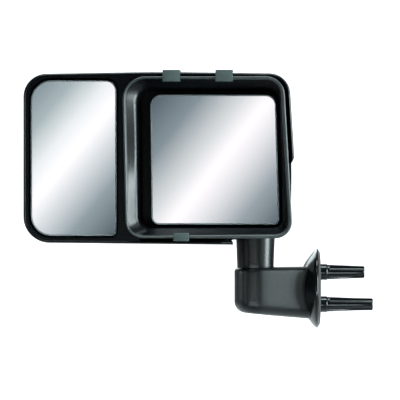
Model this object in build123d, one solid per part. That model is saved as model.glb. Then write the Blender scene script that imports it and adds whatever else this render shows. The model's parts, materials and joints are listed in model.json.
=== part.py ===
"""Door mirror with a clip-on towing extension, left-hand side, in millimetres.

Frame: the origin is the centre of the gasket's door face. +X points into the door, +Y to the
front of the vehicle and +Z up, so the mirror faces look towards -Y and the head lies at -X.
Outlines of the head are drawn as (outboard, height) pairs, where outboard is the distance -X.
"""
from build123d import *
import math
import os

os.makedirs("parts", exist_ok=True)

# Gap left between parts that move on each other.
CLEAR = 0.3

# Door flange, gasket and base arm.
FLANGE_RADIUS = 49.25
FLANGE_RIM = 7.0
FLANGE_CONE_RADIUS = 38.0
FLANGE_CONE_LENGTH = 12.0
GASKET_RADIUS = 46.5
GASKET_THICKNESS = 3.0
ARM_TOP = 26.7
ARM_BOTTOM_OUTBOARD = -28.5
ARM_BOTTOM_INBOARD = -37.2
ARM_HALF_DEPTH = 27.0
BOSS_RADIUS = 26.0
ARM_TOP_FILLET = 5.0
ARM_LOW_FILLET = 7.0
GASKET_LIP = 4.0

# Mounting posts that pass through the door skin.
POST_HEIGHT = 20.0
POST_COLLAR_RADIUS = 10.0
POST_COLLAR_LENGTH = 8.0
POST_COLLAR_STEP = 0.3  # the collar's full radius starts this far outside the door face
POST_STEM_RADIUS = 9.8
POST_ROOT_RADIUS = 9.2
POST_TIP_RADIUS = 7.4
UPPER_POST_REACH = 54.0
LOWER_POST_REACH = 64.4
POST_CORE_RADIUS = 5.4
POST_POCKET_DEPTH = 6.0
POST_RIBS = 4
POST_GROOVE_RADIUS = 4.2
INSERT_RADIUS = 4.0
INSERT_BORE_RADIUS = 2.5
INSERT_LENGTH = 12.0

# Fold pivot under the head.
NECK_X = -81.0
NECK_Y = -34.0
NECK_BOTTOM = 27.7
NECK_TOP = 71.2
NECK_BOTTOM_RADIUS = 22.6
NECK_TAPER_END = 63.0
NECK_TOP_RADIUS = 24.0
NECK_BORE_RADIUS = 17.5
NECK_FLOOR_TOP = 36.0
SPINDLE_RADIUS = 6.0
RING_INNER_RADIUS = 9.0
RING_OUTER_RADIUS = 18.5
RING_DEPTH = 5.0
DETENT_NOTCHES = 3
DETENT_NOTCH_LENGTH = 14.0
DETENT_NOTCH_WIDTH = 2.4
SPINDLE_HEAD_RADIUS = 12.0
SPINDLE_HEAD_HEIGHT = 6.0
SPINDLE_TOP = 66.0
BOSS_CAVITY_RADIUS = 16.0
BOSS_CAVITY_TOP = -2.0
CAP_BOTTOM = -27.0
CAP_THICKNESS = 3.0
CAP_SKIRT = 3.0
CAP_WALL = 1.6
SPRING_WIRE_RADIUS = 1.5
SPRING_RADIUS = 11.0
SPRING_PITCH = 4.5
SPRING_TURNS = 3.5
SEAT_RADIUS = 14.5
SEAT_THICKNESS = 2.0
NUT_RADIUS = 10.5
NUT_HEIGHT = 5.5

# Door mirror housing: (outboard, height, corner radius).
HOUSING_OUTLINE = [(243.0, 260.6, 28.0), (45.5, 260.6, 23.0), (34.0, 62.6, 21.0), (238.5, 63.0, 21.0)]
HOUSING_RIM_Y = -84.0
HOUSING_BACK_Y = 6.0
HOUSING_WALL = 2.4
HOUSING_DRAFT = 4.0
HOUSING_EDGE = 12.0
BEZEL_FLANGE = 2.0
BEZEL_SLEEVE_INSET = 4.3
BEZEL_STRAIGHT = 6.0
BEZEL_WALL = 1.8
BEAD_ROUND = 1.3
FUNNEL_REAR_Y = -62.0
WELL_FLOOR_Y = -31.0
# Distance from the glass edge to the wall of the well: outboard, top, inboard and bottom.
WELL_GAPS = {"outboard": 15.0, "top": 8.0, "inboard": 4.2, "bottom": 4.2}
WELL_WALL = 1.2
WELL_CORNER_GROWTH = 5.0
WELL_FLOOR_HOLE = 22.0

# Door mirror glass.
MAIN_GLASS_OUTLINE = [(209.5, 238.7, 13.0), (55.5, 238.7, 13.0), (51.1, 79.6, 6.0), (208.0, 79.6, 9.0)]
MAIN_GLASS_Y = -59.5
MAIN_CENTRE = (-130.5, 159.0)
BRACKET_Y = -15.0
BRACKET_THICKNESS = 2.5
BRACKET_HALF_WIDTH = 15.0
BRACKET_GUSSET = 2.0
BRACKET_SPINDLE_HOLE = 13.0
BRACKET_WINDOW_RADIUS = 11.0
BRACKET_WINDOWS = [(-103.0, 205.0), (-158.0, 205.0), (-158.0, 134.0)]
BRACKET_POST_RADIUS = 4.6
# Screws: head radius, head height, shank radius and length under the head.
BRACKET_SCREW = (4.2, 2.6, 1.8, 11.0)
PANEL_SCREW = (4.0, 2.4, 1.6, 12.0)

# Towing extension shell: (outboard, height, corner radius).
SHELL_OUTLINE = [
    (364.3, 263.8, 28.0),
    (199.0, 266.5, 2500.0),
    (39.0, 264.0, 26.0),
    (32.6, 160.0, 250.0),
    (31.0, 54.0, 25.0),
    (364.3, 57.4, 32.0),
]
SHELL_RIM_Y = -81.0
SHELL_BACK_Y = 14.0
SHELL_WALL = 3.0
SHELL_DRAFT = 1.5
SHELL_EDGE = 21.0
SKIRT_CUT_Y = -8.0
# The skirt is cut away round the neck: outline of the cutter in (outboard, height).
SKIRT_CUT = [(107.0, 20.0), (107.0, 55.5), (116.5, 66.0), (116.5, 120.0), (50.0, 154.0),
             (37.0, 155.0), (26.0, 169.0), (0.0, 169.0), (0.0, 20.0)]

# Extension glass and the tray that carries it.
TOW_GLASS_OUTLINE = [(355.5, 256.2, 25.0), (250.4, 256.2, 13.0), (250.4, 65.7, 7.0), (355.5, 65.7, 25.0)]
TOW_GLASS_Y = -75.0
TOW_GAP = 2.6
TOW_CENTRE = (-303.0, 161.0)
PANEL_INBOARD = 222.0
PANEL_GAP = 1.0
TRAY_FLOOR_Y = -45.0
TRAY_WALL = 1.4
TRAY_POST_RADIUS = 4.5
TRAY_SCREWS = [(336.0, 92.0), (336.0, 230.0), (270.0, 92.0), (270.0, 230.0)]

# Ball pivots behind both glasses.
GLASS_THICKNESS = 2.2
HOLDER_THICKNESS = 2.8
BALL_RADIUS = 9.0
LINER_RADIUS = 11.2
SOCKET_RADIUS = 14.5
SOCKET_FLANGE_RADIUS = 24.0
BALL_BEHIND_GLASS = 19.5
STEM_RADIUS = 4.0
SOCKET_OPENING = 62.0
LINER_OPENING = 64.0
LINER_SLOT = 1.6
SOCKET_FLANGE_THICKNESS = 3.0
SOCKET_SCREW_REACH = 19.5
HOLDER_RIB_INSET = 6.0
HOLDER_RIB_WIDTH = 2.0
HOLDER_RIB_HEIGHT = 2.5
GLASS_BEVEL = 0.9

# Retaining clips, which hook over the housing rim.
TOP_CLIP_WIDTH = 21.2
BOTTOM_CLIP_WIDTH = 18.8
CLIP_FRONT_Y = -89.0
CLIP_WEB = 2.6
CLIP_LIP = 1.8
CLIP_ROUND = 1.2
CLIP_LIP_END_Y = -80.0
CLIP_TAIL_END_Y = -58.0
# Heights of each strap: its hooked end, then the near and far face of its tail.
TOP_CLIP_HEIGHTS = (254.2, 266.75, 268.4)
BOTTOM_CLIP_HEIGHTS = (69.4, 62.2, 59.4)
TOP_CLIP_CENTRES = {"outboard_top_clip": -182.7, "inboard_top_clip": -118.2}
BOTTOM_CLIP_CENTRE = -170.8

# Rubber pads between shell and housing: (x, z) of opposite corners.
TOP_PADS = [((-225.0, 261.2), (-201.0, 270.0)), ((-98.0, 261.2), (-68.0, 270.0))]
TOP_PAD_Y = (-74.0, -52.0)
REAR_PADS = [((-226.0, 200.0), (-186.0, 212.0)), ((-226.0, 108.0), (-186.0, 120.0)),
             ((-100.0, 200.0), (-70.0, 212.0))]
REAR_PAD_THICKNESS = 8.0


def facing_forward(y):
    """Plane at depth y whose local axes are (outboard, height) and whose normal is +Y."""
    return Plane(origin=(0, y, 0), x_dir=(-1, 0, 0), z_dir=(0, 1, 0))


def outline_face(corners, y, grow=0.0):
    """Flat face at depth y with rounded corners, made larger by grow."""
    points = [(outboard, height) for outboard, height, _ in corners]
    radii = [radius for _, _, radius in corners]
    flat = make_face(FilletPolyline(*points, radius=radii, close=True))
    if flat.face().normal_at().Z < 0:
        flat = -flat.face()
    if grow:
        flat = offset(flat, amount=grow)
    return facing_forward(y) * flat.face()


def block(low, high):
    """Box between two opposite corners."""
    size = [b - a for a, b in zip(low, high)]
    middle = [(a + b) / 2 for a, b in zip(low, high)]
    return Pos(*middle) * Box(*size)


def turned(points, axis, place):
    """Solid of revolution: (radius, distance along the axis) points turned about X, Y or Z."""
    profile = Plane.XZ * make_face(Polyline(*points, close=True))
    solid = revolve(profile, Axis.Z)
    turns = {"X": Rot(0, 90, 0), "Y": Rot(-90, 0, 0), "Z": Rot(0, 0, 0)}
    return Pos(*place) * turns[axis] * solid


def rod(radius, start, end, axis, place):
    """Cylinder along X, Y or Z between two distances from place."""
    return turned([(0, start), (radius, start), (radius, end), (0, end)], axis, place)


def barrel(back_y):
    """Large barrel-shaped solid whose front crown passes through depth back_y."""
    across_radius = 1500.0
    upright_radius = 620.0
    half_height = 230.0
    drop = upright_radius - math.sqrt(upright_radius ** 2 - half_height ** 2)
    side = across_radius - drop
    arc = ThreePointArc((side, -half_height), (across_radius, 0), (side, half_height))
    ends = Polyline((side, half_height), (0, half_height), (0, -half_height), (side, -half_height))
    body = revolve(Plane.XZ * make_face([arc, *ends.edges()]), Axis.Z)
    return Pos(-190, back_y - across_radius, 160) * body


def cup(corners, rim_y, back_y, draft, edge, inset):
    """Drafted block with a crowned back and rounded back edges, shrunk all round by inset."""
    face = outline_face(corners, rim_y, -inset)
    body = extrude(face, amount=back_y - rim_y + 40, taper=draft)
    body = body & barrel(back_y - inset)
    back = body.faces().sort_by(Axis.Y)[-1]
    return fillet(back.edges(), edge - inset)


def shell_solid(inset):
    """Outer form of the extension shell, shrunk by inset."""
    return cup(SHELL_OUTLINE, SHELL_RIM_Y, SHELL_BACK_Y, SHELL_DRAFT, SHELL_EDGE, inset)


def housing_solid(inset):
    """Outer form of the door mirror housing, shrunk by inset."""
    return cup(HOUSING_OUTLINE, HOUSING_RIM_Y, HOUSING_BACK_Y, HOUSING_DRAFT, HOUSING_EDGE, inset)


def at_neck(z):
    return (NECK_X, NECK_Y, z)


def screw(head_radius, head_height, shank_radius, length, place):
    """Pan-head screw along +Y with the underside of its head at place."""
    return turned(
        [
            (0, -head_height),
            (head_radius * 0.7, -head_height),
            (head_radius, -head_height * 0.5),
            (head_radius, 0),
            (shank_radius, 0),
            (shank_radius, length - shank_radius),
            (0, length),
        ],
        "Y",
        place,
    )


# --- Base, which stays on the door ---------------------------------------------------------


def base_arm():
    """Arm from the round door flange to the boss that carries the head."""
    root_x = -(GASKET_THICKNESS + FLANGE_RIM)
    boss = Pos(NECK_X, NECK_Y) * Circle(BOSS_RADIUS)
    root = Pos(root_x - 4, 0) * Rectangle(8, 2 * ARM_HALF_DEPTH)
    plan = make_hull(boss.edges() + root.edges())
    column = extrude(Pos(0, 0, -60) * plan, amount=120)
    tip_x = NECK_X - BOSS_RADIUS
    side = Polyline(
        (tip_x - 10, ARM_TOP), (20, ARM_TOP), (20, ARM_BOTTOM_INBOARD - 2),
        (tip_x, ARM_BOTTOM_OUTBOARD), (tip_x - 10, ARM_BOTTOM_OUTBOARD), close=True,
    )
    arm = column & extrude(Plane.XZ * make_face(side), amount=120, both=True)
    arm = fillet(arm.faces().sort_by(Axis.Z)[-1].edges().filter_by(lambda e: e.center().X < root_x - 1),
                 ARM_TOP_FILLET)
    low = arm.edges().filter_by(lambda e: e.center().Z < ARM_BOTTOM_OUTBOARD + 1.5 and e.length > 12)
    low = low.filter_by(lambda e: e.center().X < root_x - 1)
    arm = fillet(low, ARM_LOW_FILLET)
    flange = turned(
        [
            (0, root_x - FLANGE_CONE_LENGTH),
            (FLANGE_CONE_RADIUS, root_x - FLANGE_CONE_LENGTH),
            (FLANGE_RADIUS - 2.5, root_x),
            (FLANGE_RADIUS - 0.7, root_x + 0.8),
            (FLANGE_RADIUS, root_x + 2),
            (FLANGE_RADIUS, -GASKET_THICKNESS),
            (0, -GASKET_THICKNESS),
        ],
        "X",
        (0, 0, 0),
    )
    arm = arm + flange
    for height in (POST_HEIGHT, -POST_HEIGHT):
        arm -= rod(POST_COLLAR_RADIUS + 0.05, -GASKET_THICKNESS - POST_POCKET_DEPTH, 1, "X", (0, 0, height))
    arm -= rod(BOSS_CAVITY_RADIUS, -60, BOSS_CAVITY_TOP, "Z", at_neck(0))
    arm -= rod(SPINDLE_RADIUS + 0.05, -10, 40, "Z", at_neck(0))
    arm -= rod(RING_OUTER_RADIUS + 0.1, ARM_TOP - RING_DEPTH, ARM_TOP + 10, "Z", at_neck(0))
    return arm


def door_gasket():
    """Domed seal between the flange and the door, with holes for the two posts."""
    seal = turned(
        [(0, -GASKET_THICKNESS), (GASKET_RADIUS, -GASKET_THICKNESS), (GASKET_RADIUS, -GASKET_THICKNESS / 2),
         (GASKET_RADIUS - GASKET_LIP, 0), (0, 0)],
        "X",
        (0, 0, 0),
    )
    for height in (POST_HEIGHT, -POST_HEIGHT):
        seal -= rod(POST_COLLAR_RADIUS + 0.05, -10, 10, "X", (0, 0, height))
    return seal


def mount_post(reach, height):
    """Tapered post with four lengthwise ribs, a round collar and a threaded socket in its tip."""
    start = POST_COLLAR_LENGTH
    post = turned([(0, start), (POST_ROOT_RADIUS, start), (POST_TIP_RADIUS, reach), (0, reach)],
                  "X", (0, 0, 0))
    groove_height = POST_CORE_RADIUS + POST_GROOVE_RADIUS
    groove = rod(POST_GROOVE_RADIUS, start + 2, reach + 1, "X", (0, 0, groove_height))
    for turn in range(POST_RIBS):
        post -= Rot(360 / POST_RIBS * (turn + 0.5), 0, 0) * groove
    post += rod(POST_STEM_RADIUS, -GASKET_THICKNESS - POST_POCKET_DEPTH, start, "X", (0, 0, 0))
    post += rod(POST_COLLAR_RADIUS, POST_COLLAR_STEP, start, "X", (0, 0, 0))
    post -= rod(INSERT_RADIUS, reach - INSERT_LENGTH, reach + 1, "X", (0, 0, 0))
    return Pos(0, 0, height) * post


def post_inserts():
    """Brass threaded inserts in the post tips."""
    inserts = []
    for reach, height in ((UPPER_POST_REACH, POST_HEIGHT), (LOWER_POST_REACH, -POST_HEIGHT)):
        insert = rod(INSERT_RADIUS, reach - INSERT_LENGTH, reach, "X", (0, 0, height))
        inserts.append(insert - rod(INSERT_BORE_RADIUS, reach - INSERT_LENGTH, reach, "X", (0, 0, height)))
    return inserts


def detent_ring(bottom, top, notch_side):
    """Flat ring with three radial notches in one face."""
    ring = turned([(RING_INNER_RADIUS, bottom), (RING_OUTER_RADIUS, bottom), (RING_OUTER_RADIUS, top),
                   (RING_INNER_RADIUS, top)], "Z", (0, 0, 0))
    notch_z = top if notch_side == "top" else bottom
    notch = Rot(45, 0, 0) * Box(DETENT_NOTCH_LENGTH, DETENT_NOTCH_WIDTH, DETENT_NOTCH_WIDTH)
    notch = Pos((RING_INNER_RADIUS + RING_OUTER_RADIUS) / 2, 0, notch_z) * notch
    for turn in range(DETENT_NOTCHES):
        ring -= Rot(0, 0, 360 / DETENT_NOTCHES * (turn + 0.5)) * notch
    return Pos(*at_neck(0)) * ring


def pivot_spindle():
    """Headed spindle that clamps the head to the arm."""
    foot = BOSS_CAVITY_TOP - SPINDLE_HEAD_HEIGHT
    return turned(
        [(0, foot), (SPINDLE_HEAD_RADIUS - 1, foot), (SPINDLE_HEAD_RADIUS, foot + 1),
         (SPINDLE_HEAD_RADIUS, BOSS_CAVITY_TOP), (SPINDLE_RADIUS, BOSS_CAVITY_TOP),
         (SPINDLE_RADIUS, SPINDLE_TOP - 1), (SPINDLE_RADIUS - 1, SPINDLE_TOP), (0, SPINDLE_TOP)],
        "Z",
        at_neck(0),
    )


def spring_span():
    """Lowest and highest point of the fold spring."""
    bottom = NECK_FLOOR_TOP + CLEAR
    return bottom, bottom + SPRING_PITCH * SPRING_TURNS + 2 * SPRING_WIRE_RADIUS


def fold_spring():
    """Coil spring that presses the detent rings together."""
    bottom, _ = spring_span()
    path = Helix(pitch=SPRING_PITCH, height=SPRING_PITCH * SPRING_TURNS, radius=SPRING_RADIUS)
    section = Plane(origin=path @ 0, z_dir=path % 0) * Circle(SPRING_WIRE_RADIUS)
    coil = sweep(section, path=path, is_frenet=True)
    return Pos(*at_neck(bottom + SPRING_WIRE_RADIUS)) * coil


def spring_seat():
    """Washer on top of the fold spring."""
    _, low = spring_span()
    high = low + SEAT_THICKNESS
    bore = SPINDLE_RADIUS + 0.1
    return turned([(bore, low), (SEAT_RADIUS, low), (SEAT_RADIUS, high), (bore, high)], "Z", at_neck(0))


def spindle_nut():
    """Hexagon nut on the spindle."""
    _, top = spring_span()
    hexagon = extrude(RegularPolygon(NUT_RADIUS, 6), amount=NUT_HEIGHT)
    nut = Pos(*at_neck(top + SEAT_THICKNESS)) * hexagon
    return nut - rod(SPINDLE_RADIUS + 0.02, 0, 80, "Z", at_neck(0))


def base_cap():
    """Push-in cap that closes the boss from below."""
    outer = BOSS_CAVITY_RADIUS - 0.2
    inner = outer - CAP_WALL
    floor_top = CAP_BOTTOM + CAP_THICKNESS
    skirt_top = floor_top + CAP_SKIRT
    return turned([(0, CAP_BOTTOM), (outer - 1, CAP_BOTTOM), (outer, CAP_BOTTOM + 1), (outer, skirt_top),
                   (inner, skirt_top), (inner, floor_top), (0, floor_top)], "Z", at_neck(0))


# --- Head: neck, bracket and door mirror housing --------------------------------------------


def neck_cover():
    """Tapered round neck with the spring chamber inside."""
    neck = turned(
        [
            (SPINDLE_RADIUS + CLEAR, NECK_BOTTOM),
            (NECK_BOTTOM_RADIUS - 1, NECK_BOTTOM),
            (NECK_BOTTOM_RADIUS, NECK_BOTTOM + 1),
            (NECK_TOP_RADIUS, NECK_TAPER_END),
            (NECK_TOP_RADIUS, NECK_TOP),
            (NECK_BORE_RADIUS, NECK_TOP),
            (NECK_BORE_RADIUS, NECK_FLOOR_TOP),
            (SPINDLE_RADIUS + CLEAR, NECK_FLOOR_TOP),
        ],
        "Z",
        at_neck(0),
    )
    return neck - rod(RING_OUTER_RADIUS + 0.1, 0, NECK_BOTTOM + RING_DEPTH - 1, "Z", at_neck(0))


def head_bracket():
    """Pressed steel bracket: a foot on the neck and an upright plate behind the glass."""
    foot_top = NECK_TOP + BRACKET_THICKNESS
    foot = rod(NECK_TOP_RADIUS - 1, NECK_TOP, foot_top, "Z", at_neck(0))
    front = BRACKET_Y
    back = BRACKET_Y + BRACKET_THICKNESS
    outboard, inboard = NECK_X - BRACKET_HALF_WIDTH, NECK_X + BRACKET_HALF_WIDTH
    tongue = block((outboard, NECK_Y, NECK_TOP), (inboard, back, foot_top))
    centre_x, centre_z = MAIN_CENTRE
    upright = Polyline((inboard, NECK_TOP), (inboard, centre_z + 30), (centre_x + 40, centre_z + 72),
                       (centre_x - 48, centre_z + 72), (centre_x - 48, centre_z - 48),
                       (outboard, NECK_TOP), close=True)
    plate = extrude(Plane.XZ.offset(-back) * make_face(upright), amount=BRACKET_THICKNESS)
    bracket = foot + tongue + plate
    for x in (outboard, inboard - BRACKET_GUSSET):
        gusset = Plane.YZ.offset(x) * make_face(
            Polyline((back, foot_top), (back, foot_top + 26), (front - 12, foot_top), close=True))
        bracket += extrude(gusset, amount=BRACKET_GUSSET)
    bracket -= rod(BRACKET_SPINDLE_HOLE, NECK_TOP - 1, foot_top + 1, "Z", at_neck(0))
    bracket -= rod(STEM_RADIUS + 0.05, front - 1, back + 1, "Y", (centre_x, 0, centre_z))
    for x, z in BRACKET_WINDOWS:
        bracket -= rod(BRACKET_WINDOW_RADIUS, front - 1, back + 1, "Y", (x, 0, z))
    for x, z in bracket_screw_places():
        bracket -= rod(BRACKET_SCREW[2] + CLEAR, front - 1, back + 1, "Y", (x, 0, z))
    return bracket


def bracket_screw_places():
    """(x, z) of the four screws through the bracket."""
    centre_x, centre_z = MAIN_CENTRE
    return [(centre_x + 30, centre_z + 64), (centre_x - 40, centre_z + 64),
            (centre_x - 40, centre_z - 42), (centre_x + 60, centre_z - 12)]


def bracket_screws():
    """Screws from the bracket into the housing's rear posts."""
    return [screw(*BRACKET_SCREW, (x, BRACKET_Y, z)) for x, z in bracket_screw_places()]


def housing_shell():
    """Hollow housing of the door mirror, open at the glass side."""
    inner = housing_solid(HOUSING_WALL)
    shell = housing_solid(0) - inner
    bracket_back = BRACKET_Y + BRACKET_THICKNESS
    for x, z in bracket_screw_places():
        post = rod(BRACKET_POST_RADIUS, bracket_back, HOUSING_BACK_Y + 2, "Y", (x, 0, z))
        shell += post & housing_solid(HOUSING_WALL / 2)
    for x, z in bracket_screw_places():
        shell -= rod(BRACKET_SCREW[2] + 0.1, bracket_back - 1, bracket_back + 10, "Y", (x, 0, z))
    shell -= rod(NECK_TOP_RADIUS + 0.4, 40, 90, "Z", at_neck(0))
    return shell


def well_face(y, grow):
    """Face across the well round the glass, made larger by grow."""
    outboard_gap, inboard_gap = WELL_GAPS["outboard"], WELL_GAPS["inboard"]
    top_gap, bottom_gap = WELL_GAPS["top"], WELL_GAPS["bottom"]
    shifts = [(outboard_gap, top_gap), (-inboard_gap, top_gap), (-inboard_gap, -bottom_gap),
              (outboard_gap, -bottom_gap)]
    corners = []
    for (outboard, height, radius), (side, up) in zip(MAIN_GLASS_OUTLINE, shifts):
        corners.append((outboard + side, height + up, radius + WELL_CORNER_GROWTH))
    return outline_face(corners, y, grow)


def housing_bezel():
    """Housing mouth: raised rim bead, straight lip, funnel and a well with a floor behind the glass."""
    front_y = HOUSING_RIM_Y - BEZEL_FLANGE
    lip_y = HOUSING_RIM_Y + BEZEL_STRAIGHT
    rim = extrude(outline_face(HOUSING_OUTLINE, front_y, 0), amount=BEZEL_FLANGE)
    rim = fillet(rim.faces().sort_by(Axis.Y)[0].edges(), BEAD_ROUND)
    sleeve = extrude(outline_face(HOUSING_OUTLINE, HOUSING_RIM_Y, -BEZEL_SLEEVE_INSET + BEZEL_WALL),
                     amount=BEZEL_STRAIGHT, taper=HOUSING_DRAFT)
    funnel = loft([outline_face(HOUSING_OUTLINE, lip_y, -BEZEL_SLEEVE_INSET + BEZEL_WALL / 2),
                   well_face(FUNNEL_REAR_Y, WELL_WALL)], ruled=True)
    well = extrude(well_face(FUNNEL_REAR_Y, WELL_WALL), amount=WELL_FLOOR_Y + WELL_WALL - FUNNEL_REAR_Y,
                   taper=HOUSING_DRAFT)
    mouth = extrude(outline_face(HOUSING_OUTLINE, front_y, -BEZEL_SLEEVE_INSET),
                    amount=lip_y - front_y)
    hollow = loft([outline_face(HOUSING_OUTLINE, lip_y, -BEZEL_SLEEVE_INSET),
                   well_face(FUNNEL_REAR_Y, 0)], ruled=True)
    hollow += extrude(well_face(FUNNEL_REAR_Y, 0), amount=WELL_FLOOR_Y - FUNNEL_REAR_Y, taper=HOUSING_DRAFT)
    floor_hole = extrude(outline_face(MAIN_GLASS_OUTLINE, WELL_FLOOR_Y - 1, -WELL_FLOOR_HOLE), amount=6)
    return (rim + sleeve + funnel + well) - mouth - hollow - floor_hole


# --- Glass units: ball stud, liner, socket, holder and glass ----------------------------------


def ball_centre(centre, glass_y):
    """Centre of the ball behind a glass whose face is at depth glass_y."""
    return (centre[0], glass_y + BALL_BEHIND_GLASS, centre[1])


def ball_stud(centre, glass_y, root_y, root_radius):
    """Ball with a stem back to its mounting plate and a foot behind it."""
    x, y, z = ball_centre(centre, glass_y)
    stud = Pos(x, y, z) * Sphere(BALL_RADIUS)
    stud += rod(STEM_RADIUS, y, root_y + 7, "Y", (x, 0, z))
    if root_radius:
        stud += rod(root_radius, root_y - 1.2, root_y, "Y", (x, 0, z))
    return stud


def spherical_cup(centre, glass_y, inner_radius, outer_radius, opening_angle, flange=None):
    """Spherical shell open at the back for the stem; flange is its (radius, front, back)."""
    section = Circle(outer_radius)
    if flange:
        flange_radius, front, back = flange
        section += Pos(0, (front + back) / 2) * Rectangle(2 * flange_radius, back - front)
    section -= Circle(inner_radius)
    reach = outer_radius + 4
    spread = reach * math.tan(math.radians(opening_angle))
    section -= make_face(Polyline((0, 0), (spread, reach), (-spread, reach), close=True))
    section &= Pos(50, 0) * Rectangle(100, 100)
    cup_solid = revolve(section, Axis.Y)
    return Pos(*ball_centre(centre, glass_y)) * cup_solid


def pivot_liner(centre, glass_y):
    """Nylon liner between the ball and the socket, slotted so that it can snap on."""
    liner = spherical_cup(centre, glass_y, BALL_RADIUS + CLEAR, LINER_RADIUS, LINER_OPENING)
    x, y, z = ball_centre(centre, glass_y)
    for turn in range(4):
        slot = block((4, 1, -LINER_SLOT / 2), (LINER_RADIUS + 2, LINER_RADIUS + 2, LINER_SLOT / 2))
        slot = Rot(0, 45 + 90 * turn, 0) * slot
        liner -= Pos(x, y, z) * slot
    return liner


def glass_socket(centre, glass_y):
    """Socket with a round flange that is screwed to the back of the glass holder."""
    back_y = glass_y + GLASS_THICKNESS + HOLDER_THICKNESS
    y = glass_y + BALL_BEHIND_GLASS
    flange = (SOCKET_FLANGE_RADIUS, back_y - y, back_y + SOCKET_FLANGE_THICKNESS - y)
    socket = spherical_cup(centre, glass_y, LINER_RADIUS + CLEAR, SOCKET_RADIUS, SOCKET_OPENING, flange)
    for px, pz in socket_screw_places(centre):
        socket -= rod(1.6, back_y - 1, back_y + 4, "Y", (px, 0, pz))
    return socket


def socket_screw_places(centre):
    """(x, z) of the four screws round a ball pivot."""
    places = []
    for turn in range(4):
        angle = math.radians(45 + 90 * turn)
        across, up = SOCKET_SCREW_REACH * math.cos(angle), SOCKET_SCREW_REACH * math.sin(angle)
        places.append((centre[0] + across, centre[1] + up))
    return places


def socket_screws(centre, glass_y):
    """Four screws through the socket flange into the holder, heads at the back."""
    head_y = glass_y + GLASS_THICKNESS + HOLDER_THICKNESS + SOCKET_FLANGE_THICKNESS
    screws = []
    for px, pz in socket_screw_places(centre):
        screws.append(turned([(0, 1.8), (1.9, 1.8), (2.7, 0.9), (2.7, 0), (1.3, 0), (1.3, -5), (0, -5)],
                             "Y", (px, head_y, pz)))
    return screws


def mirror_glass(corners, glass_y):
    """Mirror plate with a ground bevel round its front edge."""
    plate = extrude(outline_face(corners, glass_y), amount=GLASS_THICKNESS)
    front = plate.faces().sort_by(Axis.Y)[0]
    return chamfer(front.edges(), GLASS_BEVEL)


def glass_holder(corners, centre, glass_y):
    """Moulded backing plate with stiffening ribs behind the glass."""
    front_y = glass_y + GLASS_THICKNESS
    back_y = front_y + HOLDER_THICKNESS
    plate = extrude(outline_face(corners, front_y, -0.6), amount=HOLDER_THICKNESS)
    outer, inner = -HOLDER_RIB_INSET, -HOLDER_RIB_INSET - HOLDER_RIB_WIDTH
    ribs = extrude(outline_face(corners, back_y, outer), amount=HOLDER_RIB_HEIGHT)
    ribs -= extrude(outline_face(corners, back_y, inner), amount=HOLDER_RIB_HEIGHT)
    holder = plate + ribs
    for px, pz in socket_screw_places(centre):
        holder -= rod(1.5, front_y + 0.6, back_y + 1, "Y", (px, 0, pz))
    return holder


# --- Towing extension -----------------------------------------------------------------------


def tow_shell():
    """Shell that wraps the housing and carries the outboard glass, cut away round the neck."""
    inner = shell_solid(SHELL_WALL)
    shell = shell_solid(0) - inner
    cut = make_face(Polyline(*SKIRT_CUT, close=True))
    shell -= extrude(facing_forward(SHELL_RIM_Y - 10) * cut, amount=SKIRT_CUT_Y - SHELL_RIM_Y + 10)
    floor_back = TRAY_FLOOR_Y + TRAY_WALL
    solid_core = shell_solid(SHELL_WALL / 2)
    for outboard, z in TRAY_SCREWS:
        shell += rod(TRAY_POST_RADIUS, floor_back, SHELL_BACK_Y + 2, "Y", (-outboard, 0, z)) & solid_core
    for outboard, z in TRAY_SCREWS:
        shell -= rod(PANEL_SCREW[2] + 0.1, floor_back - 1, floor_back + 12, "Y", (-outboard, 0, z))
    return shell


def tray_corners(grow):
    """Tray opening round the extension glass, made larger by grow."""
    gap = TOW_GAP + grow
    signs = [(1, 1), (-1, 1), (-1, -1), (1, -1)]
    corners = []
    for (outboard, height, radius), (side, up) in zip(TOW_GLASS_OUTLINE, signs):
        corners.append((outboard + side * gap, height + up * gap, radius + gap))
    return corners


def tow_front_panel():
    """Face panel with a deep tray that holds the outboard glass clear of the shell."""
    flange_y = SHELL_RIM_Y + 1
    flange = extrude(outline_face(SHELL_OUTLINE, flange_y, -SHELL_WALL - 0.4), amount=2)
    flange &= block((-400, -120, 0), (-PANEL_INBOARD, 60, 400))
    flange -= extrude(outline_face(HOUSING_OUTLINE, flange_y - 1, PANEL_GAP), amount=4)
    depth = TRAY_FLOOR_Y - flange_y
    tray = extrude(outline_face(tray_corners(TRAY_WALL), flange_y), amount=depth + TRAY_WALL)
    panel = flange + tray
    panel -= extrude(outline_face(tray_corners(0), flange_y - 1), amount=depth + 1)
    x, z = TOW_CENTRE
    panel -= rod(STEM_RADIUS + 0.05, TRAY_FLOOR_Y - 1, TRAY_FLOOR_Y + 4, "Y", (x, 0, z))
    for outboard, z in TRAY_SCREWS:
        panel -= rod(PANEL_SCREW[2] + CLEAR, TRAY_FLOOR_Y - 1, TRAY_FLOOR_Y + 4, "Y", (-outboard, 0, z))
    return panel


def panel_screws():
    """Screws that hold the tray to the shell's posts."""
    return [screw(*PANEL_SCREW, (-outboard, TRAY_FLOOR_Y, z)) for outboard, z in TRAY_SCREWS]


def shell_pads():
    """Rubber pads that take up the gap between the shell and the housing."""
    cavity = shell_solid(SHELL_WALL)
    pads = []
    for low, high in TOP_PADS:
        pads.append(block((low[0], TOP_PAD_Y[0], low[1]), (high[0], TOP_PAD_Y[1], high[1])) & cavity)
    front = HOUSING_BACK_Y + CLEAR
    back = HOUSING_BACK_Y + REAR_PAD_THICKNESS
    for low, high in REAR_PADS:
        pads.append(block((low[0], front, low[1]), (high[0], back, high[1])) & cavity)
    return pads


# --- Retaining clips -------------------------------------------------------------------------


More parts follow.
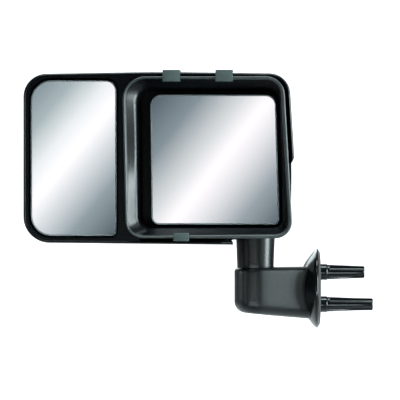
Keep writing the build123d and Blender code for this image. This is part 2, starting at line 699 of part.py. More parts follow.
def clip(heights, inward, width, centre_x):
    """Strap that hooks over the housing rim; inward is 1 when the hook reaches up and -1 when down."""
    hook, tail_near, tail_far = heights
    web_back = CLIP_FRONT_Y + CLIP_WEB
    lip = hook - inward * CLIP_LIP
    profile = Polyline(
        (CLIP_FRONT_Y, hook), (CLIP_LIP_END_Y, hook), (CLIP_LIP_END_Y, lip), (web_back, lip),
        (web_back, tail_near), (CLIP_TAIL_END_Y, tail_near), (CLIP_TAIL_END_Y, tail_far),
        (CLIP_FRONT_Y, tail_far), close=True,
    )
    strap = extrude(Plane.YZ.offset(centre_x - width / 2) * make_face(profile), amount=width)
    corners = strap.edges().filter_by(Axis.X).filter_by(lambda e: e.center().Y < CLIP_FRONT_Y + 0.1)
    return fillet(corners, CLIP_ROUND)


# --- Assembly ----------------------------------------------------------------------------------


def all_parts():
    """Every sub-part by name; a list is a group of separate solids."""
    bracket_back = BRACKET_Y + BRACKET_THICKNESS
    parts = {
        "base_arm": base_arm(),
        "door_gasket": door_gasket(),
        "upper_mount_post": mount_post(UPPER_POST_REACH, POST_HEIGHT),
        "lower_mount_post": mount_post(LOWER_POST_REACH, -POST_HEIGHT),
        "post_inserts": post_inserts(),
        "pivot_spindle": pivot_spindle(),
        "lower_detent_ring": detent_ring(ARM_TOP - RING_DEPTH, NECK_BOTTOM - CLEAR, "top"),
        "fold_spring": fold_spring(),
        "spring_seat": spring_seat(),
        "spindle_nut": spindle_nut(),
        "base_cap": base_cap(),
        "neck_cover": neck_cover(),
        "upper_detent_ring": detent_ring(NECK_BOTTOM, NECK_BOTTOM + RING_DEPTH - 1, "bottom"),
        "head_bracket": head_bracket(),
        "bracket_screws": bracket_screws(),
        "housing_shell": housing_shell(),
        "housing_bezel": housing_bezel(),
        "main_ball_stud": ball_stud(MAIN_CENTRE, MAIN_GLASS_Y, bracket_back, 0),
        "tow_shell": tow_shell(),
        "tow_front_panel": tow_front_panel(),
        "panel_screws": panel_screws(),
        "tow_ball_stud": ball_stud(TOW_CENTRE, TOW_GLASS_Y, TRAY_FLOOR_Y, 7.0),
        "shell_pads": shell_pads(),
        "bottom_clip": clip(BOTTOM_CLIP_HEIGHTS, 1, BOTTOM_CLIP_WIDTH, BOTTOM_CLIP_CENTRE),
    }
    glasses = {
        "main": (MAIN_GLASS_OUTLINE, MAIN_CENTRE, MAIN_GLASS_Y),
        "tow": (TOW_GLASS_OUTLINE, TOW_CENTRE, TOW_GLASS_Y),
    }
    for side, (corners, centre, glass_y) in glasses.items():
        parts[side + "_pivot_liner"] = pivot_liner(centre, glass_y)
        parts[side + "_glass_socket"] = glass_socket(centre, glass_y)
        parts[side + "_socket_screws"] = socket_screws(centre, glass_y)
        parts[side + "_glass_holder"] = glass_holder(corners, centre, glass_y)
        parts[side + "_mirror_glass"] = mirror_glass(corners, glass_y)
    for name, centre_x in TOP_CLIP_CENTRES.items():
        parts[name] = clip(TOP_CLIP_HEIGHTS, -1, TOP_CLIP_WIDTH, centre_x)
    return parts


def main():
    for name, shape in all_parts().items():
        if isinstance(shape, list):
            shape = Compound(children=[piece.solid() for piece in shape])
        export_step(shape, "parts/" + name + ".step")
        print(name, round(shape.volume))


main()
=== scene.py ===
import json
import math

import bmesh
import bpy
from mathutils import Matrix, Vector

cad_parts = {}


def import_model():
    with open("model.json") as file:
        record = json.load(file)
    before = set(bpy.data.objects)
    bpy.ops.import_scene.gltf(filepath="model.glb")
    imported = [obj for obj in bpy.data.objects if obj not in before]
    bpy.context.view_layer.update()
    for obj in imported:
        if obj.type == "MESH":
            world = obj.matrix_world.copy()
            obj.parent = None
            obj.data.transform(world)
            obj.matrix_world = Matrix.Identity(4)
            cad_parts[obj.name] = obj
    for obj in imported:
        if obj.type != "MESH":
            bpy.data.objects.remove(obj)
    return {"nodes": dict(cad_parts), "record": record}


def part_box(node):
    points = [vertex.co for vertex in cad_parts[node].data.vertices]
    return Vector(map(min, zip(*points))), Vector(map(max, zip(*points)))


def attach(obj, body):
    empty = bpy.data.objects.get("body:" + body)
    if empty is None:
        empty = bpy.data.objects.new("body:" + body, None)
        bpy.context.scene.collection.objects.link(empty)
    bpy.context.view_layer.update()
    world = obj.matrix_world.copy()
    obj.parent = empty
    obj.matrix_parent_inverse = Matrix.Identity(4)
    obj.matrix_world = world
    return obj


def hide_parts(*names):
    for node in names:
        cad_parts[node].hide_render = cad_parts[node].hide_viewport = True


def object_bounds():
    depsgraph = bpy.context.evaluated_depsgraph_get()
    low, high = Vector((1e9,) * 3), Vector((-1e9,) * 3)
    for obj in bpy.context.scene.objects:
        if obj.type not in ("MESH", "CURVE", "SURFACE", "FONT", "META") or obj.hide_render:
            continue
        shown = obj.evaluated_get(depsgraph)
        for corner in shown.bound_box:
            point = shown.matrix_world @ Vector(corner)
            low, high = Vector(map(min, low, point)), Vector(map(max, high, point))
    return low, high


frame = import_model()
cad_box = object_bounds()
nodes = frame["nodes"]

MM = 0.001

# Driving sizes of the object in millimetres, in the frame of the CAD model.
HOUSING = [(-243.0, 260.6, 28.0), (-238.5, 63.0, 21.0), (-34.0, 62.6, 21.0), (-45.5, 260.6, 23.0)]
SHELL = [(-364.3, 263.8, 28.0), (-364.3, 57.4, 32.0), (-31.0, 54.0, 25.0), (-32.6, 160.0, 250.0),
         (-39.0, 264.0, 26.0), (-199.0, 266.5, 2500.0)]
MAIN_GLASS = [(-209.5, 238.7, 13.0), (-208.0, 79.6, 9.0), (-51.1, 79.6, 6.0), (-55.5, 238.7, 13.0)]
TOW_GLASS = [(-355.5, 256.2, 25.0), (-355.5, 65.7, 25.0), (-250.4, 65.7, 7.0), (-250.4, 256.2, 13.0)]
NECK = (-81.0, -34.0)
NECK_BOTTOM, NECK_TOP = 27.7, 71.2
ARM_TOP = 26.7
POST_HEIGHT = 20.0
SHELL_RIM = -81.0
HOUSING_RIM = -84.0
HOUSING_DRAFT = 4.0
WELL_FRONT, WELL_FLOOR = -62.0, -31.0


# --- Mesh helpers ------------------------------------------------------------------------------


def corner_ring(corners, grow=0.0, arc_steps=14, side_steps=9):
    """Points (x, z) round a polygon with rounded corners, larger by grow; the count never changes."""
    count = len(corners)
    lines = []
    for i in range(count):
        a = Vector(corners[i][:2])
        b = Vector(corners[(i + 1) % count][:2])
        along = (b - a).normalized()
        outward = Vector((along.y, -along.x))
        lines.append((a + outward * grow, along))
    moved = []
    for i in range(count):
        (p, u), (q, v) = lines[i - 1], lines[i]
        cross = u.x * v.y - u.y * v.x
        step = ((q.x - p.x) * v.y - (q.y - p.y) * v.x) / cross
        moved.append(p + u * step)
    arcs = []
    for i in range(count):
        u, v = lines[i - 1][1], lines[i][1]
        turn = math.acos(max(-1.0, min(1.0, u.dot(v))))
        radius = max(corners[i][2] + grow, 0.4)
        reach = radius * math.tan(turn / 2)
        inward = Vector((-u.y, u.x))
        start = moved[i] - u * reach
        centre = start + inward * radius
        begin = math.atan2(-inward.y, -inward.x)
        angles = [begin + turn * k / arc_steps for k in range(arc_steps + 1)]
        arcs.append([centre + radius * Vector((math.cos(angle), math.sin(angle))) for angle in angles])
    ring = []
    for i in range(count):
        ring.extend(arcs[i])
        last, first = arcs[i][-1], arcs[(i + 1) % count][0]
        ring.extend(last.lerp(first, k / side_steps) for k in range(1, side_steps))
    return ring


def skin(name, rings, close_start=True, close_end=True, loop=False):
    """Mesh object in metres from rings of points in millimetres, joined ring to ring."""
    bm = bmesh.new()
    made = [[bm.verts.new(Vector(p) * MM) for p in ring] for ring in rings]
    count = len(made[0])
    pairs = list(zip(made, made[1:]))
    if loop:
        pairs.append((made[-1], made[0]))
    for low, high in pairs:
        for i in range(count):
            j = (i + 1) % count
            bm.faces.new((low[i], low[j], high[j], high[i]))
    if not loop:
        for end, wanted in ((made[0], close_start), (made[-1], close_end)):
            if wanted:
                middle = bm.verts.new(sum((v.co for v in end), Vector()) / count)
                for i in range(count):
                    bm.faces.new((end[i], end[(i + 1) % count], middle))
    bmesh.ops.recalc_face_normals(bm, faces=bm.faces)
    mesh = bpy.data.meshes.new(name)
    bm.to_mesh(mesh)
    bm.free()
    return link(name, mesh)


def link(name, mesh):
    mesh.polygons.foreach_set("use_smooth", [True] * len(mesh.polygons))
    piece = bpy.data.objects.new(name, mesh)
    bpy.context.scene.collection.objects.link(piece)
    return piece


def applied(piece):
    """The piece's modifiers are made part of its mesh."""
    depsgraph = bpy.context.evaluated_depsgraph_get()
    mesh = bpy.data.meshes.new_from_object(piece.evaluated_get(depsgraph))
    old = piece.data
    piece.modifiers.clear()
    piece.data = mesh
    bpy.data.meshes.remove(old)
    mesh.polygons.foreach_set("use_smooth", [True] * len(mesh.polygons))
    return piece


def carve(piece, *cutters):
    """Cuts closed meshes out of the piece and throws them away."""
    for cutter in cutters:
        cut = piece.modifiers.new("cut", "BOOLEAN")
        cut.operation = "DIFFERENCE"
        cut.solver = "EXACT"
        cut.object = cutter
    applied(piece)
    for cutter in cutters:
        mesh = cutter.data
        bpy.data.objects.remove(cutter)
        bpy.data.meshes.remove(mesh)
    return piece


def soften(piece, width=0.4, segments=2, angle=40.0):
    """Rounds edges sharper than angle, so that they catch the light."""
    bevel = piece.modifiers.new("soft edges", "BEVEL")
    bevel.width = width * MM
    bevel.segments = segments
    bevel.limit_method = "ANGLE"
    bevel.angle_limit = math.radians(angle)
    bevel.use_clamp_overlap = True
    applied(piece)
    piece.data.set_sharp_from_angle(angle=math.radians(50))
    return piece


def prism(outline, y_low, y_high):
    """Closed prism through (x, z) points between two depths."""
    return skin("prism", [[(x, y_low, z) for x, z in outline], [(x, y_high, z) for x, z in outline]])


def lathe(name, profile, place, axis, steps=72, cap=True):
    """Surface of revolution: (radius, distance) points turned about an axis through place."""
    rings = []
    for radius, along in profile:
        ring = []
        for k in range(steps):
            angle = math.tau * k / steps
            a, b = max(radius, 0.01) * math.cos(angle), max(radius, 0.01) * math.sin(angle)
            offset = {"X": (along, a, b), "Y": (b, along, a), "Z": (a, b, along)}[axis]
            ring.append([p + q for p, q in zip(place, offset)])
        rings.append(ring)
    return skin(name, rings, cap, cap)


def finish(piece, body, material, slot, *replaced):
    """The piece gets its material, rides on its body and stands for CAD nodes."""
    piece.data.materials.clear()
    piece.data.materials.append(material)
    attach(piece, body)
    if replaced:
        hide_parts(*replaced)
    return piece


# --- Materials ---------------------------------------------------------------------------------


class Nodes:
    """A material's node tree with short calls for what every material here needs."""

    def __init__(self, name):
        self.material = bpy.data.materials.new(name)
        self.material.use_nodes = True
        self.tree = self.material.node_tree
        self.shader = self.tree.nodes["Principled BSDF"]
        self.place = self.add("ShaderNodeTexCoord").outputs["Object"]

    def add(self, kind, **settings):
        node = self.tree.nodes.new(kind)
        for key, value in settings.items():
            setattr(node, key, value)
        return node

    def join(self, source, target):
        self.tree.links.new(source, target)

    def noise(self, scale, detail=4.0, roughness=0.55, source=None):
        node = self.add("ShaderNodeTexNoise")
        node.inputs["Scale"].default_value = scale
        node.inputs["Detail"].default_value = detail
        node.inputs["Roughness"].default_value = roughness
        self.join(source or self.place, node.inputs["Vector"])
        return node.outputs["Fac"]

    def ramp(self, source, *stops):
        node = self.add("ShaderNodeValToRGB")
        elements = node.color_ramp.elements
        while len(elements) < len(stops):
            elements.new(0.5)
        for element, (position, colour) in zip(elements, stops):
            element.position = position
            element.color = (*colour, 1.0)
        self.join(source, node.inputs["Fac"])
        return node.outputs["Color"]

    def remap(self, source, low, high):
        node = self.add("ShaderNodeMapRange")
        node.inputs["To Min"].default_value = low
        node.inputs["To Max"].default_value = high
        self.join(source, node.inputs["Value"])
        return node.outputs["Result"]

    def bump(self, source, strength, distance, under=None):
        node = self.add("ShaderNodeBump")
        node.inputs["Strength"].default_value = strength
        node.inputs["Distance"].default_value = distance
        self.join(source, node.inputs["Height"])
        if under is not None:
            self.join(under, node.inputs["Normal"])
        return node.outputs["Normal"]


def moulded_plastic(name, dark, light, roughness, grain=1000.0, grain_depth=0.00016, strength=0.5, shine=0.35):
    """Black plastic from a textured mould: fine pebbled grain, slightly uneven in colour and sheen."""
    made = Nodes(name)
    cloud = made.noise(18.0, 3.0)
    made.join(made.ramp(cloud, (0.3, dark), (0.75, light)), made.shader.inputs["Base Color"])
    fine = made.noise(grain, 2.0, 0.6)
    made.join(made.remap(fine, roughness - 0.08, roughness + 0.08), made.shader.inputs["Roughness"])
    pebbles = made.add("ShaderNodeTexVoronoi", feature="SMOOTH_F1")
    pebbles.inputs["Scale"].default_value = grain * 0.6
    made.join(made.place, pebbles.inputs["Vector"])
    under = made.bump(pebbles.outputs["Distance"], strength, grain_depth)
    made.join(made.bump(fine, strength * 0.6, grain_depth * 0.6, under), made.shader.inputs["Normal"])
    made.shader.inputs["Specular IOR Level"].default_value = shine
    return made.material


def rubbery(name, dark, light, roughness=0.75):
    """Matt moulded rubber with a fine dusty variation."""
    made = Nodes(name)
    made.join(made.ramp(made.noise(90.0, 5.0), (0.3, dark), (0.7, light)), made.shader.inputs["Base Color"])
    fine = made.noise(2600.0, 2.0)
    made.join(made.bump(fine, 0.4, 0.00008), made.shader.inputs["Normal"])
    made.join(made.remap(made.noise(300.0), roughness - 0.08, roughness + 0.08), made.shader.inputs["Roughness"])
    return made.material


def metal(name, dark, light, roughness, stretch=(1.0, 1.0, 30.0)):
    """Plated or machined metal with faint tool marks along one direction."""
    made = Nodes(name)
    mapping = made.add("ShaderNodeMapping")
    mapping.inputs["Scale"].default_value = stretch
    made.join(made.place, mapping.inputs["Vector"])
    marks = made.noise(120.0, 4.0, source=mapping.outputs["Vector"])
    made.join(made.ramp(marks, (0.3, dark), (0.7, light)), made.shader.inputs["Base Color"])
    made.join(made.remap(marks, roughness - 0.06, roughness + 0.08), made.shader.inputs["Roughness"])
    made.join(made.bump(marks, 0.15, 0.00003), made.shader.inputs["Normal"])
    made.shader.inputs["Metallic"].default_value = 1.0
    return made.material


def silvered_with_painted_reflection(name, low, high, slope, stops):
    """Silvered glass with a painted reflection: a soft diagonal band of tones painted into its colour runs across it.
    """
    made = Nodes(name)
    split = made.add("ShaderNodeSeparateXYZ")
    made.join(made.place, split.inputs["Vector"])
    across = made.add("ShaderNodeMapRange")
    across.inputs["From Min"].default_value = low[0]
    across.inputs["From Max"].default_value = high[0]
    down = made.add("ShaderNodeMapRange")
    down.inputs["From Min"].default_value = high[2]
    down.inputs["From Max"].default_value = low[2]
    made.join(split.outputs["X"], across.inputs["Value"])
    made.join(split.outputs["Z"], down.inputs["Value"])
    weigh = made.add("ShaderNodeMath", operation="MULTIPLY_ADD")
    weigh.inputs[1].default_value = slope
    made.join(across.outputs["Result"], weigh.inputs[0])
    half = made.add("ShaderNodeMath", operation="MULTIPLY")
    half.inputs[1].default_value = 1.0 - slope
    made.join(down.outputs["Result"], half.inputs[0])
    made.join(half.outputs["Value"], weigh.inputs[2])
    made.join(made.ramp(weigh.outputs["Value"], *stops), made.shader.inputs["Base Color"])
    made.join(made.remap(made.noise(30.0, 2.0), 0.03, 0.07), made.shader.inputs["Roughness"])
    made.shader.inputs["Metallic"].default_value = 1.0
    return made.material


def ground_edge():
    """Ground glass bevel round a mirror plate."""
    made = Nodes("ground_glass_edge")
    made.join(made.ramp(made.noise(400.0), (0.3, (0.50, 0.56, 0.58)), (0.7, (0.66, 0.72, 0.74))),
              made.shader.inputs["Base Color"])
    made.join(made.remap(made.noise(900.0), 0.3, 0.42), made.shader.inputs["Roughness"])
    made.shader.inputs["Metallic"].default_value = 0.4
    return made.material


SHELL_PLASTIC = moulded_plastic("shell_plastic", (0.0030, 0.0044, 0.0046), (0.0055, 0.0074, 0.0078), 0.36)
HOUSING_PLASTIC = moulded_plastic("housing_plastic", (0.0006, 0.0008, 0.0011), (0.0012, 0.0016, 0.0020), 0.30,
                                  shine=0.24)
# Bead plastic is the housing plastic painted many times lighter: painted highlight along the convex rim bead.
BEAD_PLASTIC_PAINTED_LIGHT = moulded_plastic("bead_plastic_painted_light", (0.0125, 0.0170, 0.0177), (0.0250, 0.0330, 0.0341), 0.46, 1100.0,
                               0.00025, 0.8, 0.5)
PANEL_PLASTIC = moulded_plastic("panel_plastic", (0.0008, 0.0011, 0.0017), (0.0014, 0.0018, 0.0026), 0.36, 1800.0,
                                shine=0.08)
BASE_PLASTIC = moulded_plastic("base_plastic", (0.0020, 0.0030, 0.0032), (0.0042, 0.0057, 0.0060), 0.32)
HOLDER_PLASTIC = moulded_plastic("holder_plastic", (0.001, 0.001, 0.001), (0.002, 0.002, 0.002), 0.4, 1800.0,
                                 shine=0.13)
POST_PLASTIC = moulded_plastic("post_plastic", (0.0018, 0.0026, 0.0028), (0.0034, 0.0047, 0.0050), 0.16, 900.0,
                               0.00004, 0.3, 0.36)
CLIP_RUBBER = rubbery("clip_rubber", (0.031, 0.048, 0.047), (0.044, 0.064, 0.063))
SEAL_RUBBER = rubbery("rubber", (0.010, 0.010, 0.011), (0.018, 0.018, 0.019))
NYLON = rubbery("nylon", (0.62, 0.61, 0.56), (0.74, 0.73, 0.68), 0.4)
STEEL = metal("steel", (0.42, 0.43, 0.45), (0.62, 0.63, 0.65), 0.32)
SCREW_STEEL = metal("screw_steel", (0.36, 0.37, 0.38), (0.58, 0.59, 0.60), 0.28, (30.0, 30.0, 1.0))
SPRING_STEEL = metal("spring_steel", (0.16, 0.16, 0.17), (0.30, 0.30, 0.31), 0.3)
BRASS = metal("brass", (0.60, 0.42, 0.16), (0.80, 0.60, 0.28), 0.25, (30.0, 1.0, 1.0))
GLASS_EDGE = ground_edge()

SLOT_MATERIALS = {
    "base_plastic": BASE_PLASTIC,
    "housing_plastic": HOUSING_PLASTIC,
    "shell_plastic": SHELL_PLASTIC,
    "panel_plastic": PANEL_PLASTIC,
    "holder_plastic": HOLDER_PLASTIC,
    "post_plastic": POST_PLASTIC,
    "clip_rubber": CLIP_RUBBER,
    "rubber": SEAL_RUBBER,
    "nylon": NYLON,
    "steel": STEEL,
    "screw_steel": SCREW_STEEL,
    "spring_steel": SPRING_STEEL,
    "brass": BRASS,
}
for part in frame["record"]["subparts"]:
    finish_material = SLOT_MATERIALS.get(part["material_slot"])
    if finish_material:
        materials = nodes[part["node"]].data.materials
        materials.clear()
        materials.append(finish_material)


# --- Hollow shells -----------------------------------------------------------------------------


def barrel_back(x, z):
    """How far the crowned back falls away from its deepest point, in millimetres."""
    return -((x + 190.0) ** 2) / 3000.0 - ((z - 160.0) ** 2) / 1240.0


def cup_rings(corners, rim, back, draft, edge, inset, depth_steps=16, edge_steps=12, face_steps=14):
    """Rings from the rim to the middle of the back of a drafted, crowned cup, shrunk by inset."""
    slope = math.tan(math.radians(draft))
    radius = edge - inset
    deep = back - inset
    rings = []
    for step in range(depth_steps + 1):
        ring = []
        for x, z in corner_ring(corners, -inset):
            side_end = deep + barrel_back(x, z) - radius
            y = rim + (side_end - rim) * step / depth_steps
            ring.append((x, y, z))
        grown = corner_ring(corners, -inset - (sum(p[1] for p in ring) / len(ring) - rim) * slope)
        rings.append([(g.x, y, g.y) for g, (_, y, _) in zip(grown, ring)])
    full = (deep - radius - rim) * slope + inset
    for step in range(1, edge_steps + 1):
        angle = math.pi / 2 * step / edge_steps
        lean = radius * (1 - math.sin(angle)) * slope
        flat = corner_ring(corners, -(full - lean + radius * slope) - radius * (1 - math.cos(angle)))
        rings.append([(x, deep + barrel_back(x, z) - radius * (1 - math.sin(angle)), z) for x, z in flat])
    rim_of_face = [Vector((x, z)) for x, _, z in rings[-1]]
    middle = sum(rim_of_face, Vector((0, 0))) / len(rim_of_face)
    for step in range(1, face_steps):
        scale = 1 - step / face_steps
        flat = [middle + (p - middle) * scale for p in rim_of_face]
        rings.append([(x, deep + barrel_back(x, z), z) for x, z in flat])
    return rings


def flat_ring(corners, grow, y):
    return [(x, y, z) for x, z in corner_ring(corners, grow)]


def tow_shell():
    """Extension shell with a rolled rim bead, cut away round the neck."""
    wall = 3.0
    back, draft, edge = 14.0, 1.5, 22.0
    outer = cup_rings(SHELL, SHELL_RIM + 5.5, back, draft, edge, 0.7)
    inner = cup_rings(SHELL, SHELL_RIM + 2.0, back, draft, edge, wall)
    bead_profile = [(-wall, 1.0), (-wall + 0.3, 0.3), (-wall + 0.8, 0.0), (-1.9, 0.05), (-1.4, 0.3), (-0.9, 0.75),
                    (-0.5, 1.3), (-0.2, 2.0), (-0.03, 2.8), (0.0, 3.6), (-0.25, 4.4), (-0.6, 4.9)]
    bead = [flat_ring(SHELL, inset, SHELL_RIM + depth) for inset, depth in bead_profile]
    shell = skin("tow_shell_skin", inner[::-1] + bead + outer)
    round_neck = [(-109.8, 20.0), (0.0, 20.0), (0.0, 169.0), (-26.0, 169.0), (-37.0, 155.0), (-50.0, 154.0),
                  (-116.5, 120.0), (-117.5, 66.0), (-112.0, 64.0), (-109.8, 61.5)]
    for_tail = [(-122.0, 20.0), (-105.0, 20.0), (-105.0, 59.5), (-122.0, 59.5)]
    cut_from, cut_to = -100.0, -8.0
    carve(shell, prism(round_neck, cut_from, cut_to), prism(for_tail, cut_from, cut_to))
    soften(shell, 0.5, 2, 42.0)
    finish(shell, "extension", SHELL_PLASTIC, "shell_plastic", "tow_shell")
    # The front faces of the rim get the darker panel plastic: painted shade on the faces that look forward.
    shell.data.materials.append(PANEL_PLASTIC)
    rim_front = (SHELL_RIM + 0.4) * MM
    for polygon in shell.data.polygons:
        if polygon.center.y < rim_front:
            polygon.material_index = 1


def shell_tail():
    """Rolled lower edge of the shell, which ends in a round nose beside the neck."""
    steps = 32
    front, least_depth = -80.9, -78.4
    stations = [(-172.0, 0.4), (-166.0, 1.1), (-154.0, 1.6), (-140.0, 1.9), (-128.0, 2.2), (-120.0, 2.7),
                (-114.0, 3.0), (-111.2, 3.0), (-109.6, 2.75), (-108.4, 2.2), (-107.5, 1.5), (-107.1, 0.6)]
    angles = [math.tau * k / steps for k in range(steps)]
    rings = []
    for x, radius in stations:
        low = 54.02 + (x + 31.0) * -0.0102
        depth = max(front + radius, least_depth)
        rings.append([(x, depth + radius * math.cos(angle), low + radius + radius * math.sin(angle))
                      for angle in angles])
    tail = skin("tow_shell_tail", rings)
    finish(tail, "extension", POST_PLASTIC, "shell_plastic")


def housing_shell():
    """Door mirror housing behind the bezel, with a hole for the neck."""
    back, edge, wall = 6.0, 13.0, 2.4
    outer = cup_rings(HOUSING, HOUSING_RIM, back, HOUSING_DRAFT, edge, 0.05)
    inner = cup_rings(HOUSING, HOUSING_RIM, back, HOUSING_DRAFT, edge, wall)
    shell = skin("housing_skin", inner[::-1] + outer)
    hole = lathe("hole", [(24.4, 40.0), (24.4, 90.0)], (*NECK, 0.0), "Z", 64)
    carve(shell, hole)
    soften(shell, 0.4, 2, 42.0)
    finish(shell, "head", HOUSING_PLASTIC, "housing_plastic", "housing_shell")


def well_corners():
    """Corners of the well round the door mirror glass."""
    gaps = {"outboard": 15.0, "top": 8.0, "inboard": 4.2, "bottom": 4.2}
    shifts = [(-gaps["outboard"], gaps["top"]), (-gaps["outboard"], -gaps["bottom"]),
              (gaps["inboard"], -gaps["bottom"]), (gaps["inboard"], gaps["top"])]
    return [(x + dx, z + dz, r + 5.0) for (x, z, r), (dx, dz) in zip(MAIN_GLASS, shifts)]


def widened_ring(inset, y):
    """Ring inside the housing's outline whose inset grows by half towards the inboard side."""
    start, reach = -200.0, 140.0
    ring = []
    for narrow, wide in zip(corner_ring(HOUSING, inset), corner_ring(HOUSING, 1.5 * inset)):
        share = max(0.0, min(1.0, (narrow.x - start) / reach))
        x, z = narrow.lerp(wide, share)
        ring.append((x, y, z))
    return ring


def funnel_rings(lip, edge):
    """Rings from the lip of the mouth to the front edge of the well."""
    steep = [(0.0, 0.0), (0.06, 0.12), (0.16, 0.23), (0.27, 0.34), (0.38, 0.45), (0.50, 0.56), (0.62, 0.67),
             (0.74, 0.78), (0.88, 0.90), (1.0, 1.0)]
    # The outboard side is a flat band that turns down at its inner edge; its tilt changes with height.
    tilted = [(0.0, 0.0), (0.12, 0.072), (0.28, 0.17), (0.44, 0.265), (0.60, 0.36), (0.76, 0.455), (0.86, 0.54),
              (0.93, 0.67), (0.975, 0.83), (1.0, 1.0)]
    shallow = [0.0, 0.026, 0.061, 0.096, 0.13, 0.165, 0.24, 0.45, 0.73, 1.0]
    band_side, band_blend = -212.0, 20.0
    flat_height, flat_reach = 186.0, 62.0
    rings = []
    for (wide_s, deep_s), (wide_t, deep_t), deep_f in zip(steep, tilted, shallow):
        ring = []
        for a, b in zip(lip, edge):
            outboard = max(0.0, min(1.0, (band_side - a.x) / band_blend))
            flat = max(0.0, 1.0 - abs(a.z - flat_height) / flat_reach)
            deep_o = deep_t + (deep_f - deep_t) * flat ** 0.7
            sideways = wide_s + (wide_t - wide_s) * outboard
            inward = deep_s + (deep_o - deep_s) * outboard
            ring.append((a.x + (b.x - a.x) * sideways, a.y + (b.y - a.y) * inward, a.z + (b.z - a.z) * sideways))
        rings.append(ring)
    return rings


def housing_bezel():
    """Mouth of the housing: rim bead, rounded funnel and the dark well round the glass."""
    well = well_corners()
    slope = math.tan(math.radians(HOUSING_DRAFT))
    bead_profile = [(0.0, 0.02), (0.0, -0.7), (-0.3, -1.4), (-0.8, -1.85), (-1.4, -2.0), (-2.0, -1.85), (-2.6, -1.4),
                    (-3.0, -0.6), (-3.2, 0.6), (-3.6, 1.3)]
    front = [widened_ring(inset, HOUSING_RIM + rise) for inset, rise in bead_profile]
    lip = [Vector(p) for p in widened_ring(-4.0, HOUSING_RIM + 1.5)]
    edge = [Vector(p) for p in flat_ring(well, 0.0, WELL_FRONT)]
    funnel = funnel_rings(lip, edge)
    deep = []
    for y in (-61.0, -59.5, -50.0, -40.0, -33.0, -31.6, WELL_FLOOR):
        shrink = (y - WELL_FRONT) * slope + (0.5 if y > WELL_FLOOR - 1.0 else 0.0)
        deep.append(flat_ring(well, -shrink, y))
    wall = 1.2
    floor_back = WELL_FLOOR + wall
    floor_inner = [flat_ring(MAIN_GLASS, -22.0, WELL_FLOOR), flat_ring(MAIN_GLASS, -22.0, floor_back)]
    back = [
        flat_ring(well, wall - (floor_back - WELL_FRONT) * slope, floor_back),
        flat_ring(well, wall, WELL_FRONT),
        flat_ring(HOUSING, -3.4, HOUSING_RIM + 6.0),
        flat_ring(HOUSING, -2.6, HOUSING_RIM + 0.02),
    ]
    bezel = skin("housing_bezel_skin", front + funnel + deep + floor_inner + back, loop=True)
    bezel.data.set_sharp_from_angle(angle=math.radians(55))
    finish(bezel, "head", HOUSING_PLASTIC, "housing_plastic", "housing_bezel")
    bezel.data.materials.append(BEAD_PLASTIC_PAINTED_LIGHT)
    bezel.data.materials.append(PANEL_PLASTIC)
    # The front of the rim bead gets the much lighter bead plastic: painted highlight round the rim.
    bead_end = (HOUSING_RIM + 0.2) * MM
    band_end = -214.0 * MM
    for polygon in bezel.data.polygons:
        if polygon.center.y < bead_end:
            polygon.material_index = 1
        elif polygon.center.x > band_end:
            polygon.material_index = 2


# --- Glass -------------------------------------------------------------------------------------

# Tones of the painted reflection on each glass, across its diagonal band from one corner to the other.
MAIN_PAINTED_REFLECTION = [(0.0, (0.075, 0.10, 0.125)), (0.22, (0.22, 0.27, 0.30)), (0.42, (0.68, 0.70, 0.72)),
              (0.53, (1.0, 0.96, 0.98)), (0.64, (0.76, 0.76, 0.79)), (0.82, (0.30, 0.35, 0.38)),
              (1.0, (0.09, 0.12, 0.145))]
TOW_PAINTED_REFLECTION = [(0.0, (0.18, 0.24, 0.27)), (0.20, (0.38, 0.45, 0.47)), (0.36, (0.80, 0.83, 0.85)),
             (0.48, (1.0, 0.98, 1.0)), (0.60, (0.68, 0.71, 0.74)), (0.78, (0.27, 0.33, 0.36)),
             (1.0, (0.075, 0.10, 0.115))]


def mirror_plate(name, corners, front_y, body, painted_reflection_tones, slope, node):
    """Flat glass plate with a ground bevel; its face carries the painted reflection band."""
    thick, bevel = 2.2, 1.7
    face_steps = 12
    rim = [Vector(p) for p in flat_ring(corners, -bevel, front_y)]
    middle = sum(rim, Vector()) / len(rim)
    face = [[tuple(middle + (p - middle) * (step / face_steps)) for p in rim] for step in range(1, face_steps + 1)]
    sides = [flat_ring(corners, -0.2, front_y + 1.2), flat_ring(corners, 0.0, front_y + 1.45),
             flat_ring(corners, 0.0, front_y + thick - 0.2), flat_ring(corners, -0.2, front_y + thick)]
    glass = skin(name, face + sides)
    low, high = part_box(node)
    silver = silvered_with_painted_reflection(name + "_silver", low, high, slope, painted_reflection_tones)
    finish(glass, body, silver, "mirror", node)
    glass.data.materials.append(GLASS_EDGE)
    flat_until = (front_y + 0.05) * MM
    for polygon in glass.data.polygons:
        if polygon.center.y > flat_until:
            polygon.material_index = 1
    glass.data.set_sharp_from_angle(angle=math.radians(20))


# --- Base: arm, flange, gasket, neck and posts ----------------------------------------------------


def hull_of_discs(discs, grow, arc_steps=20, side_steps=10):
    """Outline (x, y) wrapped counter-clockwise round discs given as (x, y, radius)."""
    count = len(discs)
    normals = []
    for i in range(count):
        ax, ay, ar = discs[i]
        bx, by, br = discs[(i + 1) % count]
        distance = math.hypot(bx - ax, by - ay)
        normals.append(math.atan2(by - ay, bx - ax) - math.acos((ar - br) / distance))
    arcs = []
    for i in range(count):
        x, y, radius = discs[i]
        radius = max(radius + grow, 0.5)
        begin, end = normals[i - 1], normals[i]
        while end < begin:
            end += math.tau
        angles = [begin + (end - begin) * k / arc_steps for k in range(arc_steps + 1)]
        arcs.append([Vector((x + radius * math.cos(angle), y + radius * math.sin(angle))) for angle in angles])
    outline = []
    for i in range(count):
        outline.extend(arcs[i])
        last, first = arcs[i][-1], arcs[(i + 1) % count][0]
        outline.extend(last.lerp(first, k / side_steps) for k in range(1, side_steps))
    return outline


